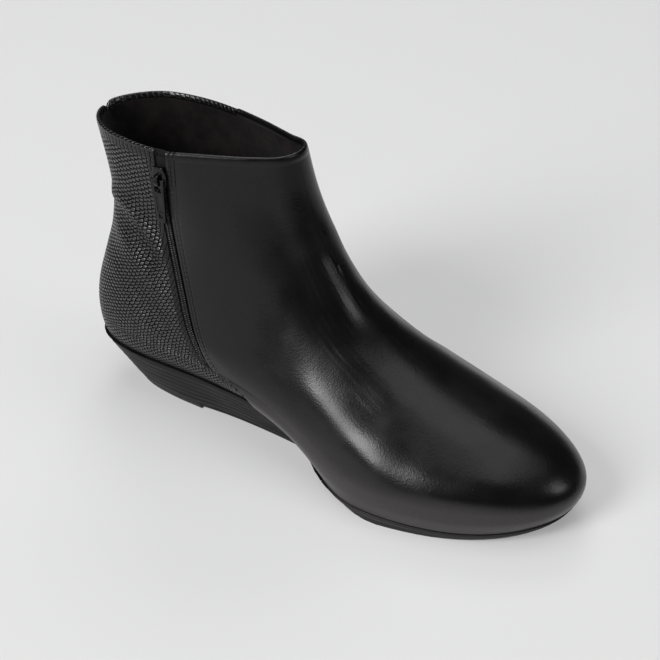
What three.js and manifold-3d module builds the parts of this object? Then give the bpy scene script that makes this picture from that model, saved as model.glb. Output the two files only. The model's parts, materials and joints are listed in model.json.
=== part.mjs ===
// A woman's wedge ankle boot for the left foot, zipped shut on its inner side.
// Millimetres, +Z up, toe towards +X, outer side towards +Y, zip side towards -Y.
// Every curved piece is worked out from one table of levels, from the feather line to the collar.
import * as THREE from "three";
import { mergeVertices } from "three/addons/utils/BufferGeometryUtils.js";
import Module from "manifold-3d";

const wasm = await Module();
wasm.setup();

// Driving sizes of the boot.
const length = 262;          // back of the heel to the tip of the toe
const ballWidth = 93;        // across the sole at the ball
const heelWidth = 60;        // across the seat of the heel
const collarLength = 107;    // back to front at the collar
const collarWidth = 58;      // across the collar
const backHeight = 144;      // floor to the collar at the back seam
const frontHeight = 145.5;   // floor to the collar at the front
const heelHeight = 28;       // floor to the feather line at the heel
const achillesHollow = 16;   // how far the back line runs in above the heel
const toeSpring = 8;         // lift of the outsole under the tip of the toe
const toeShift = 8;          // how far the tip of the toe turns to the inner side
const wall = 2.2;            // upper, leather and lining together
const vampStep = 0.8;        // the vamp's folded edge stands this far over the quarter
const outsoleEdge = 4.2;     // outsole at the forefoot
const shankSheet = 1.6;      // outsole under the waist
const liftHeight = 3.0;      // top piece under the heel
const liftStep = 1.5;        // its front end stands this far below the waist
const liftLength = 48;       // top piece, back to front
const waistArch = 2.5;       // rise of the waist between heel and ball
const wedgeTip = 1.2;        // wedge where it runs out at the ball
const soleProud = 0.8;       // sole edge outside the upper
const grooveCount = 6;       // fine grooves round the wedge
const grooveDepth = 0.5;
const grooveWidth = 0.7;
const insoleThick = 2.4;
const zipGap = 6.4;          // between the two leather edges
const zipRecess = 1.3;       // how far the zip lies below the quarter
const tapeThick = 0.5;
const coilWidth = 4.2;
const coilHeight = 1.0;
const sliderLength = 12;
const sliderWidth = 7.8;
const sliderPlate = 1.2;
const pullLength = 21.5;
const pullTopWidth = 6.8;
const pullEndWidth = 4.4;
const pullThick = 1.0;
const bridgeBar = 1.1;       // thickness of the slider's bridge
const bridgeWidth = 2.2;
const bridgeRoom = 2.1;      // height under the bridge
const bridgeSpan = 3.2;      // between its two legs
const guardWidth = 24;
const guardThick = 1.2;
const clearance = 0.3;       // between pieces that touch on the real boot
const seatGap = 0.5;         // between the upper and the curved top of the sole
const guardGap = 0.45;       // between the upper's inner face and the zip guard
const insoleGap = 0.8;       // round the edge of the insole

// Shares and places that follow from the sizes above.
const collarBack = 0.62 * achillesHollow;
const collarFront = collarBack + collarLength;
const toeTop = toeSpring + outsoleEdge + clearance;
const ballPoint = 0.575 * length;   // where the wedge has run out
const treadEnd = 0.76 * length;     // last flat spot of the forefoot
const liftBack = 1.3 * achillesHollow;
const liftFront = liftBack + liftLength;

// One row for each level of the upper, from the feather line up to the collar.
// back and backZ: the back line, as shares of the hollow and of the height above the heel.
// front and frontZ: the ridge, as shares from collar to toe and from the toe's feather line up.
// in and out: half widths on the inner and outer side at five stations, as shares of half the
// width named by wide. backEnd and frontEnd: radii of the two ends, as shares of the same width.
const levels = [
  { back: 0.25, backZ: 0, front: 0.976, frontZ: 0, wide: "foot", backEnd: 0.86, frontEnd: 0.48,
    in: [0.93, 1.0, 0.69, 0.945, 1.02, 0.745], out: [0.96, 1.03, 0.83, 0.9, 0.95, 0.67] },
  { back: 0.14, backZ: 0.062, front: 0.997, frontZ: 0.058, wide: "foot", backEnd: 0.92, frontEnd: 0.52,
    in: [1.01, 1.1, 0.86, 1.0, 1.057, 0.775], out: [1.03, 1.12, 0.895, 0.945, 0.98, 0.705] },
  { back: 0.1, backZ: 0.14, front: 0.944, frontZ: 0.132, wide: "foot", backEnd: 0.92, frontEnd: 0.5,
    in: [1.01, 1.12, 0.845, 0.93, 0.975, 0.745], out: [1.03, 1.13, 0.882, 0.915, 0.93, 0.7] },
  { back: 0.19, backZ: 0.246, front: 0.792, frontZ: 0.205, wide: "foot", backEnd: 0.88, frontEnd: 0.4,
    in: [0.98, 1.12, 0.785, 0.81, 0.817, 0.58], out: [1.0, 1.13, 0.828, 0.835, 0.825, 0.57] },
  { back: 0.47, backZ: 0.368, front: 0.542, frontZ: 0.287, wide: "foot", backEnd: 0.8, frontEnd: 0.34,
    in: [0.91, 1.07, 0.72, 0.7, 0.667, 0.516], out: [0.93, 1.08, 0.753, 0.73, 0.688, 0.516] },
  { back: 0.88, backZ: 0.544, front: 0.278, frontZ: 0.429, wide: "shaft", backEnd: 0.7, frontEnd: 0.56,
    in: [0.845, 1.017, 1.052, 1.01, 0.931, 0.724], out: [0.86, 1.017, 1.069, 1.03, 0.948, 0.72] },
  { back: 1.0, backZ: 0.684, front: 0.132, frontZ: 0.631, wide: "shaft", backEnd: 0.6, frontEnd: 0.6,
    in: [0.76, 0.966, 1.017, 0.97, 0.88, 0.586], out: [0.76, 0.948, 0.983, 0.945, 0.862, 0.572] },
  { back: 0.9, backZ: 0.825, front: 0.045, frontZ: 0.817, wide: "shaft", backEnd: 0.58, frontEnd: 0.56,
    in: [0.74, 0.966, 1.034, 0.97, 0.862, 0.552], out: [0.735, 0.92, 0.93, 0.87, 0.776, 0.5] },
  { back: 0.62, backZ: 1, front: 0, frontZ: 1, wide: "shaft", backEnd: 0.6, frontEnd: 0.5,
    in: [0.724, 0.983, 1.069, 0.965, 0.828, 0.56], out: [0.725, 0.9, 0.84, 0.75, 0.64, 0.4] },
];
const stations = [0.12, 0.3, 0.5, 0.6, 0.7, 0.88];

// The line where the sole meets the floor, with the same columns as a level.
const tread = { front: 0.955, backEnd: 0.37, frontEnd: 0.52,
  in: [0.605, 0.69, 0.5, 0.935, 1.045, 0.745], out: [0.64, 0.73, 0.66, 0.87, 0.96, 0.66] };

// The feather line's height along the boot, as shares: [along, of the heel's height].
const featherTable = [[0, 1], [0.12, 1.02], [0.33, 1.0], [0.42, 0.92], [0.5, 0.58], [0.575, 0.2],
  [0.66, 0.16], [0.8, 0.16], [0.9, 0.24], [1, 0.44]];

// A smooth curve through the rows of a table, with no overshoot between them.
function smoothTable(rows) {
  const slopes = rows.map((row, i) => {
    if (i === 0 || i === rows.length - 1) {
      return 0;
    }
    const before = (row[1] - rows[i - 1][1]) / (row[0] - rows[i - 1][0]);
    const after = (rows[i + 1][1] - row[1]) / (rows[i + 1][0] - row[0]);
    const limit = 3 * Math.min(Math.abs(before), Math.abs(after));
    return before * after <= 0 ? 0 : Math.sign(before) * Math.min(Math.abs(before + after) / 2, limit);
  });
  const last = rows.length - 1;
  slopes[0] = (rows[1][1] - rows[0][1]) / (rows[1][0] - rows[0][0]);
  slopes[last] = (rows[last][1] - rows[last - 1][1]) / (rows[last][0] - rows[last - 1][0]);
  return (at) => {
    const x = Math.min(Math.max(at, rows[0][0]), rows[last][0]);
    let i = 0;
    while (i < last - 1 && x > rows[i + 1][0]) {
      i += 1;
    }
    const span = rows[i + 1][0] - rows[i][0];
    const u = (x - rows[i][0]) / span;
    const rise = rows[i + 1][1] - rows[i][1];
    const bend = (slopes[i] + slopes[i + 1]) * span - 2 * rise;
    return rows[i][1] + u * (slopes[i] * span + u * (3 * rise - (2 * slopes[i] + slopes[i + 1]) * span + u * bend));
  };
}

const featherShare = smoothTable(featherTable);
const mix = (a, b, u) => a + (b - a) * u;

// A level's own widths in millimetres, from its shares.
function stationWidths(level, side) {
  const foot = stations.map((at) => (at < 0.4 ? heelWidth : ballWidth) / 2);
  return level[side].map((share, i) => share * (level.wide === "shaft" ? collarWidth / 2 : foot[i]));
}

// The plan of one level: its two end points and its half width at any share of its length.
function planOf(level, backX, frontX) {
  const span = frontX - backX;
  const endWidth = level.wide === "shaft" ? collarWidth / 2 : heelWidth / 2;
  const toeWidth = level.wide === "shaft" ? collarWidth / 2 : ballWidth / 2;
  const swell = (side) => {
    const widths = stationWidths(level, side);
    const rows = stations.map((at, i) => [at, widths[i] / (2 * Math.sqrt(at * (1 - at)))]);
    const first = Math.sqrt((level.backEnd * endWidth * span) / 2);
    const last = Math.sqrt((level.frontEnd * toeWidth * span) / 2);
    return smoothTable([[0, first], ...rows, [1, last]]);
  };
  return { back: backX, front: frontX, swell: { in: swell("in"), out: swell("out") } };
}

const plans = levels.map((level) =>
  planOf(level, level.back * achillesHollow, mix(collarFront, length, level.front)));
const levelPlaces = levels.map((level, i) => i / (levels.length - 1));
const column = (values) => smoothTable(values.map((value, i) => [levelPlaces[i], value]));
const backX = column(plans.map((plan) => plan.back));
const frontX = column(plans.map((plan) => plan.front));
const backZ = column(levels.map((level) => mix(heelHeight, backHeight, level.backZ)));
const frontZ = column(levels.map((level) => mix(toeTop, frontHeight, level.frontZ)));

// The vamp's edge, from the feather line up: level, then its place on the inner side (where it
// follows the zip) and on the outer side, as shares of the collar's front.
const vampEdge = [
  [0, 0.97, 0.97], [0.07, 0.928, 0.928], [0.15, 0.886, 0.886], [0.195, 0.856, 0.856],
  [0.222, 0.775, 0.785], [0.27, 0.735, 0.75], [0.375, 0.695, 0.715], [0.5, 0.655, 0.68],
  [0.625, 0.615, 0.645], [0.75, 0.585, 0.62], [0.875, 0.573, 0.6], [1, 0.571, 0.595],
];
const edgeX = {
  in: smoothTable(vampEdge.map(([t, inner]) => [t, inner * collarFront])),
  out: smoothTable(vampEdge.map(([t, inner, outer]) => [t, outer * collarFront])),
};

const toeMiss = toeTop - featherTable[featherTable.length - 1][1] * heelHeight;
const featherZ = (x) => heelHeight * featherShare(x / length) + toeMiss * (x / length) ** 6;
const centreY = (x) => -toeShift * Math.max(0, x / length) ** 3;

// The feather line's own curve dies out up the wall with this power of the height.
const featherReach = 2.5;

// A point of the upper's lasted surface: t from the feather line to the collar, turn from the
// back seam (0) along the inner side to the front (pi), and along the outer side back to 2 pi.
function lasted(t, turn) {
  const along = (1 - Math.cos(turn)) / 2;
  const side = Math.sin(turn) >= 0 ? "in" : "out";
  const x = mix(backX(t), frontX(t), along);
  const place = t * (levels.length - 1);
  const low = Math.min(Math.floor(place), levels.length - 2);
  const first = Math.max(low - 1, 0);
  const near = plans.slice(first, low + 3).map((plan, i) => [first + i, plan.swell[side](along)]);
  const half = Math.sin(turn) * smoothTable(near)(place);
  const straight = mix(backZ(0), frontZ(0), along);
  const lift = (featherZ(mix(backX(0), frontX(0), along)) - straight) * (1 - t) ** featherReach;
  const z = mix(backZ(t), frontZ(t), along) + lift;
  return new THREE.Vector3(x, centreY(x) - half, z);
}

// The same surface moved out along its own normal.
function skin(t, turn, out) {
  const step = 0.004;
  const low = Math.max(t - step, 0);
  const high = Math.min(t + step, 1);
  const up = lasted(high, turn).sub(lasted(low, turn));
  const round = lasted(t, turn + step).sub(lasted(t, turn - step));
  const normal = round.cross(up).normalize().negate();
  return lasted(t, turn).addScaledVector(normal, -out);
}

// The turn at which a level passes a given x on one side.
function turnAt(t, x, side) {
  const along = THREE.MathUtils.clamp((x - backX(t)) / (frontX(t) - backX(t)), 0, 1);
  const turn = Math.acos(1 - 2 * along);
  return side === "in" ? turn : 2 * Math.PI - turn;
}

// A closed mesh from rings of points. The rings are joined in turn, and the two ends are either
// joined to each other, as on a shell, or closed by strips from side to side.
function loft(rings, ends) {
  const count = rings[0].length;
  const places = rings.flat().flatMap((point) => [point.x, point.y, point.z]);
  const faces = [];
  const rounds = ends === "shell" ? rings.length : rings.length - 1;
  for (let ring = 0; ring < rounds; ring += 1) {
    const here = ring * count;
    const there = ((ring + 1) % rings.length) * count;
    for (let i = 0; i < count; i += 1) {
      const next = (i + 1) % count;
      faces.push(here + i, here + next, there + next, here + i, there + next, there + i);
    }
  }
  if (ends !== "shell") {
    const top = (rings.length - 1) * count;
    for (const [a, b, c] of capFaces(count, ends)) {
      faces.push(c, b, a, top + a, top + b, top + c);
    }
  }
  const geometry = new THREE.BufferGeometry();
  geometry.setAttribute("position", new THREE.Float32BufferAttribute(places, 3));
  geometry.setIndex(faces);
  if (enclosed(geometry) < 0) {
    geometry.setIndex(faces.slice().reverse());
  }
  return geometry;
}

// Strips across a ring: "open" starts and ends at a straight cut, "round" starts at a single point.
function capFaces(count, ends) {
  const faces = [];
  const mirror = (i) => (ends === "open" ? count - 1 - i : (count - i) % count);
  for (let i = 0; i < count / 2; i += 1) {
    const [a, b, c, d] = [i, i + 1, mirror(i + 1), mirror(i)];
    if (b > count / 2 || a >= c) {
      break;
    }
    if (b !== c) {
      faces.push([a, b, c]);
    }
    if (a !== d) {
      faces.push([a, c, d]);
    }
  }
  return faces;
}

// The signed volume inside a mesh.
function enclosed(geometry) {
  const at = geometry.getAttribute("position");
  const index = geometry.getIndex();
  const corner = (i) => new THREE.Vector3().fromBufferAttribute(at, index.getX(i));
  let total = 0;
  for (let i = 0; i < index.count; i += 3) {
    total += corner(i).dot(corner(i + 1).cross(corner(i + 2))) / 6;
  }
  return total;
}

// A ring moved inwards in plan, as a groove is; its cut ends stay on their plane.
function inset(ring, depth) {
  const closed = ring.length;
  return ring.map((point, i) => {
    const before = ring[(i + closed - 1) % closed];
    const after = ring[(i + 1) % closed];
    const along = new THREE.Vector2(after.x - before.x, after.y - before.y).normalize();
    if (i === 0 || i === closed - 1) {
      return new THREE.Vector3(point.x, point.y - Math.sign(point.y) * Math.abs(depth), point.z);
    }
    return new THREE.Vector3(point.x - along.y * depth, point.y + along.x * depth, point.z);
  });
}

const spread = (from, to, count) =>
  Array.from({ length: count }, (unused, i) => mix(from, to, i / (count - 1)));

// The upper: one shell, open at the collar and underneath.
const outerLevels = [0, 0.02, 0.05, 0.09, 0.14, 0.17, 0.195, 0.21, 0.222, 0.25, 0.28, 0.32, 0.37,
  0.43, 0.49, 0.55, 0.61, 0.67, 0.73, 0.79, 0.85, 0.9, 0.95, 0.985, 1];
const innerLevels = [0, 0.04, 0.1, 0.18, 0.28, 0.38, 0.48, 0.58, 0.68, 0.78, 0.88, 0.95, 1];
const zipEnd = 0.25;         // level where the zip lies at its full depth
const zipFade = 0.027;
const zipTop = 0.985;
const quarterColumns = 12;
const vampColumns = 22;
const edgeRun = 0.3;         // run of a step in the wall
const rimRise = 0.6;         // the folded collar edge is rounded by this much

// The turns of all columns at a level, each with how far it stands off the lasted surface.
function columnsAt(t) {
  const zip = THREE.MathUtils.smoothstep(t, zipEnd - zipFade, zipEnd);
  const edgeAt = (side, back) => turnAt(t, edgeX[side](t) - back, side);
  const row = (from, to, count, out) => spread(from, to, count).map((turn) => [turn, out]);
  const inner = [
    ...row(0, edgeAt("in", zipGap), quarterColumns, 0),
    ...row(edgeAt("in", zipGap - edgeRun), edgeAt("in", edgeRun), 4, -zipRecess * zip),
    ...row(edgeAt("in", 0), Math.PI, vampColumns, vampStep),
  ];
  const outer = [
    ...row(Math.PI, edgeAt("out", 0), vampColumns, vampStep),
    ...row(edgeAt("out", edgeRun), 2 * Math.PI, quarterColumns + 3, 0),
  ];
  return [...inner, ...outer.slice(1, -1)];
}

function upperShell() {
  const outside = outerLevels.map((t) => columnsAt(t).map(([turn, out]) => skin(t, turn, out)));
  const rim = columnsAt(1).map(([turn, out]) => {
    const point = skin(1, turn, (out - wall) / 2);
    point.z += rimRise;
    return point;
  });
  const inside = innerLevels.map((t) => columnsAt(t).map(([turn]) => skin(t, turn, -wall)));
  inside[0].forEach((point) => {
    point.z = featherZ(point.x);
  });
  outside[0].forEach((point) => {
    point.z = featherZ(point.x);
  });
  return loft([...outside, rim, ...inside.reverse()], "shell");
}

// The insole lies inside the foot of the upper.
function insoleBoard() {
  const turns = spread(0, 2 * Math.PI, 101).slice(0, -1);
  const ring = (lift) =>
    turns.map((turn) => {
      const point = skin(0, turn, -wall - insoleGap);
      point.z = featherZ(point.x) + lift;
      return point;
    });
  return loft([ring(0), ring(insoleThick)], "round");
}

// The sole under the feather line: floor, waist and toe spring.
const footPlan = plans[0];
const treadPlan = planOf({ ...tread, wide: "foot" }, liftBack, mix(collarFront, length, tread.front));

function floorZ(x) {
  if (x <= liftFront) {
    return 0;
  }
  if (x < ballPoint) {
    const u = (x - liftFront) / (ballPoint - liftFront);
    return liftStep * (1 - u) + waistArch * Math.sin(Math.PI * u);
  }
  return toeSpring * Math.max(0, (x - treadEnd) / (length - treadEnd)) ** 2;
}

const seatZ = (x) => featherZ(x) - seatGap;
const tipSeat = seatZ(ballPoint) - wedgeTip - clearance;

// Top of the outsole: a thin sheet under the waist, the whole edge at the forefoot.
function outsoleTop(x) {
  if (x >= ballPoint) {
    return seatZ(x);
  }
  const u = (x - liftFront) / (ballPoint - liftFront);
  return floorZ(x) + mix(shankSheet, tipSeat, u ** 2);
}

const wedgeFloor = (x) => (x < liftFront ? liftHeight : outsoleTop(x)) + clearance;
const shareAt = (x, z) => (z - floorZ(x)) / (seatZ(x) - floorZ(x));

// A point on the side of the sole at x, at a share of its height there.
function sidePoint(x, share, side) {
  const back = mix(treadPlan.back, footPlan.back - soleProud, share);
  const front = mix(treadPlan.front, footPlan.front + soleProud, share);
  const along = THREE.MathUtils.clamp((x - back) / (front - back), 0, 1);
  const round = 2 * Math.sqrt(along * (1 - along));
  const low = round * treadPlan.swell[side](along);
  const high = round * footPlan.swell[side](along) + soleProud * Math.min(1, 3 * round);
  const half = mix(low, high, share);
  const z = mix(floorZ(x), seatZ(x), share);
  return new THREE.Vector3(x, centreY(x) + (side === "in" ? -half : half), z);
}

// The x where the sole ends at its back or toe, at the height that heightOf gives.
function endOf(heightOf, toe) {
  let x = toe ? footPlan.front : footPlan.back;
  for (let i = 0; i < 12; i += 1) {
    const share = shareAt(x, heightOf(x));
    x = toe ? mix(treadPlan.front, footPlan.front + soleProud, share)
      : mix(treadPlan.back, footPlan.back - soleProud, share);
  }
  return x;
}

// A ring round the heel or the toe, cut straight across at its first place.
const endPoints = 19;
function soleRing(heightOf, end, places) {
  const last = places[places.length - 1];
  const turns = spread(0, Math.PI / 2, endPoints).slice(1);
  const xs = [...places, ...turns.map((turn) => mix(end, last, 1 - Math.sin(turn)))];
  const inner = xs.map((x) => sidePoint(x, shareAt(x, heightOf(x)), "in"));
  const outer = xs.slice(0, -1).map((x) => sidePoint(x, shareAt(x, heightOf(x)), "out"));
  return [...inner, ...outer.reverse()];
}

// The wedge, with fine grooves that close up towards the ball.
function wedgeBlock() {
  const cut = ballPoint - clearance;
  const places = spread(cut, 0.3 * length, 17);
  const ringAt = (v, depth) => {
    const heightOf = (x) => mix(wedgeFloor(x), seatZ(x), v);
    return inset(soleRing(heightOf, endOf(heightOf, false), places), depth);
  };
  const rings = [ringAt(0, 0)];
  const share = grooveWidth / heelHeight;
  for (let i = 1; i <= grooveCount; i += 1) {
    const v = i / (grooveCount + 1);
    rings.push(ringAt(v - share, 0), ringAt(v - share / 2, grooveDepth));
    rings.push(ringAt(v + share / 2, grooveDepth), ringAt(v + share, 0));
  }
  rings.push(ringAt(1, 0));
  return loft(rings, "open");
}

// The top piece under the heel.
function heelLift() {
  const ringAt = (z) => {
    const heightOf = () => z;
    return soleRing(heightOf, endOf(heightOf, false), [liftFront, mix(liftBack, liftFront, 0.75)]);
  };
  return loft([ringAt(0), ringAt(liftHeight)], "open");
}

// The outsole, from the toe to the front of the heel's top piece, with a groove round its edge.
function outsoleSheet() {
  const cut = liftFront + clearance;
  const places = [...spread(cut, ballPoint - clearance / 2, 12), ballPoint + clearance / 2,
    ...spread(0.59 * length, 0.7 * length, 6)];
  const ringAt = (v, depth) => {
    const heightOf = (x) => mix(floorZ(x), outsoleTop(x), v);
    return inset(soleRing(heightOf, endOf(heightOf, true), places), -depth);
  };
  const groove = [[0, 0], [0.45, 0], [0.5, 0.4], [0.62, 0.4], [0.67, 0], [1, 0]];
  return loft(groove.map(([v, depth]) => ringAt(v, depth)), "open");
}

// The zip: a strip between two levels, its section given as distances in front of the middle of
// the zip and heights over the quarter.
const zipTurn = (t, ahead) => turnAt(t, edgeX.in(t) - zipGap / 2 + ahead, "in");

function zipStrip(section, from, to, count) {
  const rings = spread(from, to, count).map((t) =>
    section.map(([ahead, out]) => skin(t, zipTurn(t, ahead), out)));
  return loft(rings, "open");
}

function zipTape() {
  const half = zipGap / 2 - edgeRun - clearance;
  const low = clearance - zipRecess;
  const high = low + tapeThick;
  return zipStrip([[-half, low], [-half, high], [half, high], [half, low]], zipEnd, zipTop, 22);
}

function zipCoil() {
  const half = coilWidth / 2;
  const low = 2 * clearance - zipRecess + tapeThick;
  const high = low + coilHeight;
  const section = [[-half, low], [-half, mix(low, high, 0.5)], [-0.6 * half, high]];
  const mirrored = section.map(([ahead, out]) => [-ahead, out]).reverse();
  return zipStrip([...section, ...mirrored], zipEnd, sliderLevel, 30);
}

// The guard lies inside the boot behind the zip.
function zipGuard() {
  const across = spread(-guardWidth / 2, guardWidth / 2, 5);
  const near = across.map((ahead) => [ahead, -wall - guardGap]);
  const far = across.map((ahead) => [ahead, -wall - guardGap - guardThick]).reverse();
  return zipStrip([...near, ...far], 0.3, 0.975, 16);
}

// The slider's own frame: x towards the heel, y down the zip, z out of the wall.
const sliderLevel = 0.965;
const plateFloor = 2 * clearance - zipRecess + tapeThick + coilHeight + clearance;
const onZip = (t) => skin(t, zipTurn(t, 0), 0);

function sliderFrame() {
  const top = onZip(sliderLevel);
  const down = onZip(sliderLevel - 0.08).sub(top).normalize();
  const out = skin(sliderLevel - 0.04, zipTurn(sliderLevel - 0.04, 0), 1);
  out.sub(onZip(sliderLevel - 0.04));
  out.addScaledVector(down, -out.dot(down)).normalize();
  const aside = new THREE.Vector3().crossVectors(down, out);
  const frame = new THREE.Matrix4().makeBasis(aside, down, out);
  return frame.setPosition(top);
}

// A flat outline turned into a plate between two heights.
function plate(shape, from, to) {
  const geometry = new THREE.ExtrudeGeometry(shape, { depth: to - from, bevelEnabled: false, curveSegments: 6 });
  return geometry.translate(0, 0, from);
}

function solidOf(geometry) {
  const bare = geometry.clone();
  bare.deleteAttribute("normal");
  bare.deleteAttribute("uv");
  const merged = mergeVertices(bare, 1e-4);
  const vertProperties = new Float32Array(merged.getAttribute("position").array);
  const triVerts = new Uint32Array(merged.getIndex().array);
  return new wasm.Manifold(new wasm.Mesh({ numProp: 3, vertProperties, triVerts }));
}

function geometryOf(solid) {
  const mesh = solid.getMesh();
  const geometry = new THREE.BufferGeometry();
  geometry.setAttribute("position", new THREE.BufferAttribute(mesh.vertProperties, 3));
  geometry.setIndex(new THREE.BufferAttribute(mesh.triVerts, 1));
  return geometry;
}

// The slider: a shield-shaped plate over the coil, with the bridge that holds the pull tab.
const plateTop = plateFloor + sliderPlate;
const bridgeFoot = bridgeSpan / 2 + bridgeBar;

function zipSlider() {
  const half = sliderWidth / 2;
  const neck = 0.7 * half;
  const body = new THREE.Shape();
  body.moveTo(-0.5 * half, 0);
  body.lineTo(0.5 * half, 0);
  body.quadraticCurveTo(half, 0, half, 0.18 * sliderLength);
  body.lineTo(half, 0.5 * sliderLength);
  body.lineTo(neck, 0.93 * sliderLength);
  body.lineTo(0.8 * neck, sliderLength);
  body.lineTo(-0.8 * neck, sliderLength);
  body.lineTo(-neck, 0.93 * sliderLength);
  body.lineTo(-half, 0.5 * sliderLength);
  body.lineTo(-half, 0.18 * sliderLength);
  body.quadraticCurveTo(-half, 0, -0.5 * half, 0);
  const arch = new THREE.Shape();
  const rise = bridgeRoom + bridgeBar;
  arch.moveTo(-bridgeFoot, -0.4);
  arch.lineTo(-bridgeFoot, 0.6 * rise);
  arch.quadraticCurveTo(-bridgeFoot, rise, -0.4 * bridgeFoot, rise);
  arch.lineTo(0.4 * bridgeFoot, rise);
  arch.quadraticCurveTo(bridgeFoot, rise, bridgeFoot, 0.6 * rise);
  arch.lineTo(bridgeFoot, -0.4);
  arch.lineTo(bridgeSpan / 2, -0.4);
  arch.lineTo(bridgeSpan / 2, bridgeRoom);
  arch.lineTo(-bridgeSpan / 2, bridgeRoom);
  arch.lineTo(-bridgeSpan / 2, -0.4);
  const bridge = plate(arch, -bridgeWidth / 2, bridgeWidth / 2);
  const turn = new THREE.Matrix4().makeBasis(
    new THREE.Vector3(0, 1, 0), new THREE.Vector3(0, 0, 1), new THREE.Vector3(1, 0, 0));
  bridge.applyMatrix4(turn).translate(0, sliderLength / 2, plateTop);
  const joined = solidOf(plate(body, plateFloor, plateTop)).add(solidOf(bridge));
  return geometryOf(joined);
}

// The pull tab: its top bar lies under the bridge, and it hangs straight down from there.
const pullAxis = { y: sliderLength / 2, z: plateTop + bridgeRoom / 2 };

function zipPull() {
  const top = -pullThick / 2;
  const end = pullLength + top;
  const half = pullTopWidth / 2;
  const foot = pullEndWidth / 2;
  const outline = new THREE.Shape();
  outline.moveTo(-0.7 * half, top);
  outline.lineTo(0.7 * half, top);
  outline.quadraticCurveTo(half, top, half, top + 1.6);
  outline.lineTo(foot, end - 1);
  outline.quadraticCurveTo(foot, end, foot - 1, end);
  outline.lineTo(1 - foot, end);
  outline.quadraticCurveTo(-foot, end, -foot, end - 1);
  outline.lineTo(-half, top + 1.6);
  outline.quadraticCurveTo(-half, top, -0.7 * half, top);
  const hole = (width, from, to) => {
    const path = new THREE.Path();
    path.moveTo(-width / 2, from);
    path.lineTo(-width / 2, to);
    path.lineTo(width / 2, to);
    path.lineTo(width / 2, from);
    outline.holes.push(path);
  };
  hole(bridgeWidth + 4 * clearance, pullThick / 2, pullThick / 2 + bridgeSpan + 2 * bridgeBar);
  hole(0.45 * pullEndWidth, end - 4, end - 2);
  return plate(outline, -pullThick / 2, pullThick / 2).translate(0, pullAxis.y, pullAxis.z);
}

const group = new THREE.Group();
const piece = (name, geometry, color, roughness, metalness = 0) => {
  const mesh = new THREE.Mesh(geometry, new THREE.MeshStandardMaterial({ color, roughness, metalness }));
  mesh.name = name;
  group.add(mesh);
  return mesh;
};

piece("upper", upperShell(), 0x17161a, 0.4);
piece("wedge", wedgeBlock(), 0x2b2a2c, 0.6);
piece("heel_lift", heelLift(), 0x1c1b1c, 0.8);
piece("outsole", outsoleSheet(), 0x1c1b1c, 0.7);
piece("insole", insoleBoard(), 0x241d1b, 0.9);
piece("zip_tape", zipTape(), 0x101011, 0.9);
piece("zip_coil", zipCoil(), 0x141415, 0.35);
piece("zip_guard", zipGuard(), 0x17161a, 0.4);
for (const [name, geometry] of [["zip_slider", zipSlider()], ["zip_pull", zipPull()]]) {
  piece(name, geometry, 0x1a1a1c, 0.3, 0.8).applyMatrix4(sliderFrame());
}

// The origin is on the floor under the middle of the boot.
const middle = new THREE.Box3().setFromObject(group).getCenter(new THREE.Vector3());
group.position.set(-middle.x, -middle.y, 0);

export default group;
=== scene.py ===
# %% [markdown]
# # A wedge ankle boot, dressed for its picture
# The boot's solids come in as a fixed frame: a hollow upper, a wedge, an outsole and a zip.
# This lesson gives them their looks. The upper's shell is opened into leather panels, the zip
# gets its teeth, slider and tab, and every leather, cloth and metal gets its own finish.

# %% Load the frame
import json
import math

import bpy
from mathutils import Matrix, Vector
from mathutils.bvhtree import BVHTree

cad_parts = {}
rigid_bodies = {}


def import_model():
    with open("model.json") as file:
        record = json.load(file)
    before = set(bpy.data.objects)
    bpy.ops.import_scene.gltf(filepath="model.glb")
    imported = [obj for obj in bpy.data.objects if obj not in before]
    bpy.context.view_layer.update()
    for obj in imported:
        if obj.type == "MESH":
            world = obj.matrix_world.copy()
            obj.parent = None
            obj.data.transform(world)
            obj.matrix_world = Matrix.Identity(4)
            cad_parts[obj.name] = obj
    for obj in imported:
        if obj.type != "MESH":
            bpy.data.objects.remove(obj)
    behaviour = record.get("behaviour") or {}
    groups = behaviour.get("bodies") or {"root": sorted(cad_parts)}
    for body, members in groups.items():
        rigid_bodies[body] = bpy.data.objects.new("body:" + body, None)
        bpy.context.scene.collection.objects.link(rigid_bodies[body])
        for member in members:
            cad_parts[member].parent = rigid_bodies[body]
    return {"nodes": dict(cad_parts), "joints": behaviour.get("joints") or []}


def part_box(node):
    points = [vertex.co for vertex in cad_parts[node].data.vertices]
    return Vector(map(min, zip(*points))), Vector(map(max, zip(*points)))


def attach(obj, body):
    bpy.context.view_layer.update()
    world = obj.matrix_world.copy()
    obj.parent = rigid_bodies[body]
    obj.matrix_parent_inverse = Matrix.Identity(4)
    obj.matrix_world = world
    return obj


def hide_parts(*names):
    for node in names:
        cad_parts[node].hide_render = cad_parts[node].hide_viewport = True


for leftover in list(bpy.data.objects):
    bpy.data.objects.remove(leftover)
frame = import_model()
nodes = frame["nodes"]
bpy.ops.object.select_all(action="DESELECT")
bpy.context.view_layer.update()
MM = 0.001

# %% [markdown]
# The camera looks down at the zip side from the front, as in the photograph. It stands about
# six tenths of a metre away, so the collar looks large and the toe runs towards us. Its place was
# fitted to the edges of collar, zip and sole. It aims at the middle of this one boot.

# %% Camera
camera_place = Vector((247.4, -430.7, 396)) * MM
camera_aim = Vector((3, -3, 62)) * MM
bpy.ops.object.camera_add(location=camera_place)
camera = bpy.context.object
camera.name = "camera"
camera.rotation_euler = (camera_aim - camera_place).to_track_quat("-Z", "Y").to_euler()
camera.data.sensor_width = 36
camera.data.lens = 71
camera.data.clip_start = 0.01
bpy.context.scene.camera = camera
print("camera distance", round((camera_aim - camera_place).length, 3), "m")

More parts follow.
